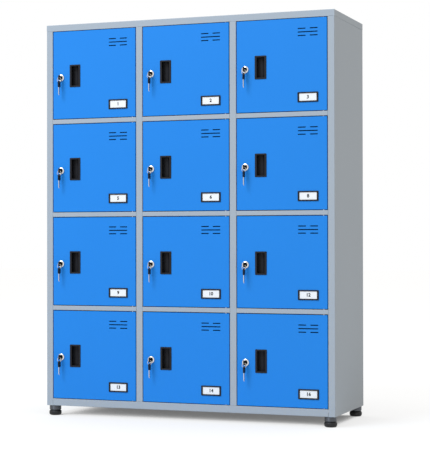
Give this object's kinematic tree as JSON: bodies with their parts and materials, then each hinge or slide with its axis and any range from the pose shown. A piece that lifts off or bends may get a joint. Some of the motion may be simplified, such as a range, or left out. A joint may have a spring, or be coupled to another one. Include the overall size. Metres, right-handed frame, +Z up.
{
  "type": "compartment locker",
  "caption": "Steel compartment locker with inset locking doors in rows and columns on levelling feet.",
  "frame": {"origin": "on the floor, at the middle of the overall box, keys included", "axes": "+Z up, +X to the right as seen from the front, the doors face -Y"},
  "size_m": [0.9, 0.3308, 1.175],
  "materials": {
    "frame_grey": "fine satin powder coat, light blue grey",
    "door_blue": "smooth satin powder coat, bright blue",
    "black_plastic": "moulded black plastic, fine grain",
    "lock_steel": "bright plated zinc and steel",
    "key_black": "black plastic head on a plated steel blade",
    "foot_rubber": "matt black rubber",
    "foot_sleeve": "glossy dark grey plastic"
  },
  "bodies": {
    "cabinet": {"top_lid": "frame_grey", "side_panel_left": "frame_grey", "side_panel_right": "frame_grey", "back_panel": "frame_grey", "base_pan": "frame_grey", "dividers": "frame_grey", "shelves": "frame_grey", "foot_sleeves": "foot_sleeve"},
    "door_r1c1": {"door_panel_r1c1": "door_blue", "door_fittings_r1c1": "black_plastic"},
    "door_r1c2": {"door_panel_r1c2": "door_blue", "door_fittings_r1c2": "black_plastic"},
    "door_r1c3": {"door_panel_r1c3": "door_blue", "door_fittings_r1c3": "black_plastic"},
    "door_r2c1": {"door_panel_r2c1": "door_blue", "door_fittings_r2c1": "black_plastic"},
    "door_r2c2": {"door_panel_r2c2": "door_blue", "door_fittings_r2c2": "black_plastic"},
    "door_r2c3": {"door_panel_r2c3": "door_blue", "door_fittings_r2c3": "black_plastic"},
    "door_r3c1": {"door_panel_r3c1": "door_blue", "door_fittings_r3c1": "black_plastic"},
    "door_r3c2": {"door_panel_r3c2": "door_blue", "door_fittings_r3c2": "black_plastic"},
    "door_r3c3": {"door_panel_r3c3": "door_blue", "door_fittings_r3c3": "black_plastic"},
    "door_r4c1": {"door_panel_r4c1": "door_blue", "door_fittings_r4c1": "black_plastic"},
    "door_r4c2": {"door_panel_r4c2": "door_blue", "door_fittings_r4c2": "black_plastic"},
    "door_r4c3": {"door_panel_r4c3": "door_blue", "door_fittings_r4c3": "black_plastic"},
    "lock_r1c1": {"lock_r1c1": "lock_steel"},
    "lock_r1c2": {"lock_r1c2": "lock_steel"},
    "lock_r1c3": {"lock_r1c3": "lock_steel"},
    "lock_r2c1": {"lock_r2c1": "lock_steel"},
    "lock_r2c2": {"lock_r2c2": "lock_steel"},
    "lock_r2c3": {"lock_r2c3": "lock_steel"},
    "lock_r3c1": {"lock_r3c1": "lock_steel"},
    "lock_r3c2": {"lock_r3c2": "lock_steel"},
    "lock_r3c3": {"lock_r3c3": "lock_steel"},
    "lock_r4c1": {"lock_r4c1": "lock_steel"},
    "lock_r4c2": {"lock_r4c2": "lock_steel"},
    "lock_r4c3": {"lock_r4c3": "lock_steel"},
    "spare_key_r1c1": {"spare_key_r1c1": "key_black"},
    "spare_key_r1c2": {"spare_key_r1c2": "key_black"},
    "spare_key_r1c3": {"spare_key_r1c3": "key_black"},
    "spare_key_r2c1": {"spare_key_r2c1": "key_black"},
    "spare_key_r2c2": {"spare_key_r2c2": "key_black"},
    "spare_key_r2c3": {"spare_key_r2c3": "key_black"},
    "spare_key_r3c1": {"spare_key_r3c1": "key_black"},
    "spare_key_r3c2": {"spare_key_r3c2": "key_black"},
    "spare_key_r3c3": {"spare_key_r3c3": "key_black"},
    "spare_key_r4c1": {"spare_key_r4c1": "key_black"},
    "spare_key_r4c2": {"spare_key_r4c2": "key_black"},
    "spare_key_r4c3": {"spare_key_r4c3": "key_black"},
    "foot_front_left": {"foot_front_left": "foot_rubber"},
    "foot_rear_left": {"foot_rear_left": "foot_rubber"},
    "foot_front_right": {"foot_front_right": "foot_rubber"},
    "foot_rear_right": {"foot_rear_right": "foot_rubber"}
  },
  "joints": [
    {"name": "door_hinge_r1c1", "type": "hinge", "parent": "cabinet", "child": "door_r1c1", "pos_m": [-0.17067, -0.13865, 1.02294], "axis": [0, 0, 1], "range_deg": [0, 105]},
    {"name": "door_hinge_r1c2", "type": "hinge", "parent": "cabinet", "child": "door_r1c2", "pos_m": [0.12267, -0.13865, 1.02294], "axis": [0, 0, 1], "range_deg": [0, 105]},
    {"name": "door_hinge_r1c3", "type": "hinge", "parent": "cabinet", "child": "door_r1c3", "pos_m": [0.416, -0.13865, 1.02294], "axis": [0, 0, 1], "range_deg": [0, 105]},
    {"name": "door_hinge_r2c1", "type": "hinge", "parent": "cabinet", "child": "door_r2c1", "pos_m": [-0.17067, -0.13865, 0.74331], "axis": [0, 0, 1], "range_deg": [0, 105]},
    {"name": "door_hinge_r2c2", "type": "hinge", "parent": "cabinet", "child": "door_r2c2", "pos_m": [0.12267, -0.13865, 0.74331], "axis": [0, 0, 1], "range_deg": [0, 105]},
    {"name": "door_hinge_r2c3", "type": "hinge", "parent": "cabinet", "child": "door_r2c3", "pos_m": [0.416, -0.13865, 0.74331], "axis": [0, 0, 1], "range_deg": [0, 105]},
    {"name": "door_hinge_r3c1", "type": "hinge", "parent": "cabinet", "child": "door_r3c1", "pos_m": [-0.17067, -0.13865, 0.46369], "axis": [0, 0, 1], "range_deg": [0, 105]},
    {"name": "door_hinge_r3c2", "type": "hinge", "parent": "cabinet", "child": "door_r3c2", "pos_m": [0.12267, -0.13865, 0.46369], "axis": [0, 0, 1], "range_deg": [0, 105]},
    {"name": "door_hinge_r3c3", "type": "hinge", "parent": "cabinet", "child": "door_r3c3", "pos_m": [0.416, -0.13865, 0.46369], "axis": [0, 0, 1], "range_deg": [0, 105]},
    {"name": "door_hinge_r4c1", "type": "hinge", "parent": "cabinet", "child": "door_r4c1", "pos_m": [-0.17067, -0.13865, 0.18406], "axis": [0, 0, 1], "range_deg": [0, 105]},
    {"name": "door_hinge_r4c2", "type": "hinge", "parent": "cabinet", "child": "door_r4c2", "pos_m": [0.12267, -0.13865, 0.18406], "axis": [0, 0, 1], "range_deg": [0, 105]},
    {"name": "door_hinge_r4c3", "type": "hinge", "parent": "cabinet", "child": "door_r4c3", "pos_m": [0.416, -0.13865, 0.18406], "axis": [0, 0, 1], "range_deg": [0, 105]},
    {"name": "lock_turn_r1c1", "type": "hinge", "parent": "door_r1c1", "child": "lock_r1c1", "pos_m": [-0.402, -0.14465, 1.015], "axis": [0, -1, 0], "range_deg": [0, 90]},
    {"name": "lock_turn_r1c2", "type": "hinge", "parent": "door_r1c2", "child": "lock_r1c2", "pos_m": [-0.10867, -0.14465, 1.015], "axis": [0, -1, 0], "range_deg": [0, 90]},
    {"name": "lock_turn_r1c3", "type": "hinge", "parent": "door_r1c3", "child": "lock_r1c3", "pos_m": [0.18467, -0.14465, 1.015], "axis": [0, -1, 0], "range_deg": [0, 90]},
    {"name": "lock_turn_r2c1", "type": "hinge", "parent": "door_r2c1", "child": "lock_r2c1", "pos_m": [-0.402, -0.14465, 0.73538], "axis": [0, -1, 0], "range_deg": [0, 90]},
    {"name": "lock_turn_r2c2", "type": "hinge", "parent": "door_r2c2", "child": "lock_r2c2", "pos_m": [-0.10867, -0.14465, 0.73538], "axis": [0, -1, 0], "range_deg": [0, 90]},
    {"name": "lock_turn_r2c3", "type": "hinge", "parent": "door_r2c3", "child": "lock_r2c3", "pos_m": [0.18467, -0.14465, 0.73538], "axis": [0, -1, 0], "range_deg": [0, 90]},
    {"name": "lock_turn_r3c1", "type": "hinge", "parent": "door_r3c1", "child": "lock_r3c1", "pos_m": [-0.402, -0.14465, 0.45575], "axis": [0, -1, 0], "range_deg": [0, 90]},
    {"name": "lock_turn_r3c2", "type": "hinge", "parent": "door_r3c2", "child": "lock_r3c2", "pos_m": [-0.10867, -0.14465, 0.45575], "axis": [0, -1, 0], "range_deg": [0, 90]},
    {"name": "lock_turn_r3c3", "type": "hinge", "parent": "door_r3c3", "child": "lock_r3c3", "pos_m": [0.18467, -0.14465, 0.45575], "axis": [0, -1, 0], "range_deg": [0, 90]},
    {"name": "lock_turn_r4c1", "type": "hinge", "parent": "door_r4c1", "child": "lock_r4c1", "pos_m": [-0.402, -0.14465, 0.17613], "axis": [0, -1, 0], "range_deg": [0, 90]},
    {"name": "lock_turn_r4c2", "type": "hinge", "parent": "door_r4c2", "child": "lock_r4c2", "pos_m": [-0.10867, -0.14465, 0.17613], "axis": [0, -1, 0], "range_deg": [0, 90]},
    {"name": "lock_turn_r4c3", "type": "hinge", "parent": "door_r4c3", "child": "lock_r4c3", "pos_m": [0.18467, -0.14465, 0.17613], "axis": [0, -1, 0], "range_deg": [0, 90]},
    {"name": "spare_key_swing_r1c1", "type": "hinge", "parent": "lock_r1c1", "child": "spare_key_r1c1", "pos_m": [-0.402, -0.15835, 1.01395], "axis": [-1, 0, 0], "range_deg": [-10, 75]},
    {"name": "spare_key_swing_r1c2", "type": "hinge", "parent": "lock_r1c2", "child": "spare_key_r1c2", "pos_m": [-0.10867, -0.15835, 1.01395], "axis": [-1, 0, 0], "range_deg": [-10, 75]},
    {"name": "spare_key_swing_r1c3", "type": "hinge", "parent": "lock_r1c3", "child": "spare_key_r1c3", "pos_m": [0.18467, -0.15835, 1.01395], "axis": [-1, 0, 0], "range_deg": [-10, 75]},
    {"name": "spare_key_swing_r2c1", "type": "hinge", "parent": "lock_r2c1", "child": "spare_key_r2c1", "pos_m": [-0.402, -0.15835, 0.73432], "axis": [-1, 0, 0], "range_deg": [-10, 75]},
    {"name": "spare_key_swing_r2c2", "type": "hinge", "parent": "lock_r2c2", "child": "spare_key_r2c2", "pos_m": [-0.10867, -0.15835, 0.73432], "axis": [-1, 0, 0], "range_deg": [-10, 75]},
    {"name": "spare_key_swing_r2c3", "type": "hinge", "parent": "lock_r2c3", "child": "spare_key_r2c3", "pos_m": [0.18467, -0.15835, 0.73432], "axis": [-1, 0, 0], "range_deg": [-10, 75]},
    {"name": "spare_key_swing_r3c1", "type": "hinge", "parent": "lock_r3c1", "child": "spare_key_r3c1", "pos_m": [-0.402, -0.15835, 0.4547], "axis": [-1, 0, 0], "range_deg": [-10, 75]},
    {"name": "spare_key_swing_r3c2", "type": "hinge", "parent": "lock_r3c2", "child": "spare_key_r3c2", "pos_m": [-0.10867, -0.15835, 0.4547], "axis": [-1, 0, 0], "range_deg": [-10, 75]},
    {"name": "spare_key_swing_r3c3", "type": "hinge", "parent": "lock_r3c3", "child": "spare_key_r3c3", "pos_m": [0.18467, -0.15835, 0.4547], "axis": [-1, 0, 0], "range_deg": [-10, 75]},
    {"name": "spare_key_swing_r4c1", "type": "hinge", "parent": "lock_r4c1", "child": "spare_key_r4c1", "pos_m": [-0.402, -0.15835, 0.17507], "axis": [-1, 0, 0], "range_deg": [-10, 75]},
    {"name": "spare_key_swing_r4c2", "type": "hinge", "parent": "lock_r4c2", "child": "spare_key_r4c2", "pos_m": [-0.10867, -0.15835, 0.17507], "axis": [-1, 0, 0], "range_deg": [-10, 75]},
    {"name": "spare_key_swing_r4c3", "type": "hinge", "parent": "lock_r4c3", "child": "spare_key_r4c3", "pos_m": [0.18467, -0.15835, 0.17507], "axis": [-1, 0, 0], "range_deg": [-10, 75]},
    {"name": "foot_turn_front_left", "type": "hinge", "parent": "cabinet", "child": "foot_front_left", "pos_m": [-0.431, -0.12565, 0.01], "axis": [0, 0, 1], "continuous": true},
    {"name": "foot_turn_rear_left", "type": "hinge", "parent": "cabinet", "child": "foot_rear_left", "pos_m": [-0.431, 0.14635, 0.01], "axis": [0, 0, 1], "continuous": true},
    {"name": "foot_turn_front_right", "type": "hinge", "parent": "cabinet", "child": "foot_front_right", "pos_m": [0.431, -0.12565, 0.01], "axis": [0, 0, 1], "continuous": true},
    {"name": "foot_turn_rear_right", "type": "hinge", "parent": "cabinet", "child": "foot_rear_right", "pos_m": [0.431, 0.14635, 0.01], "axis": [0, 0, 1], "continuous": true}
  ]
}
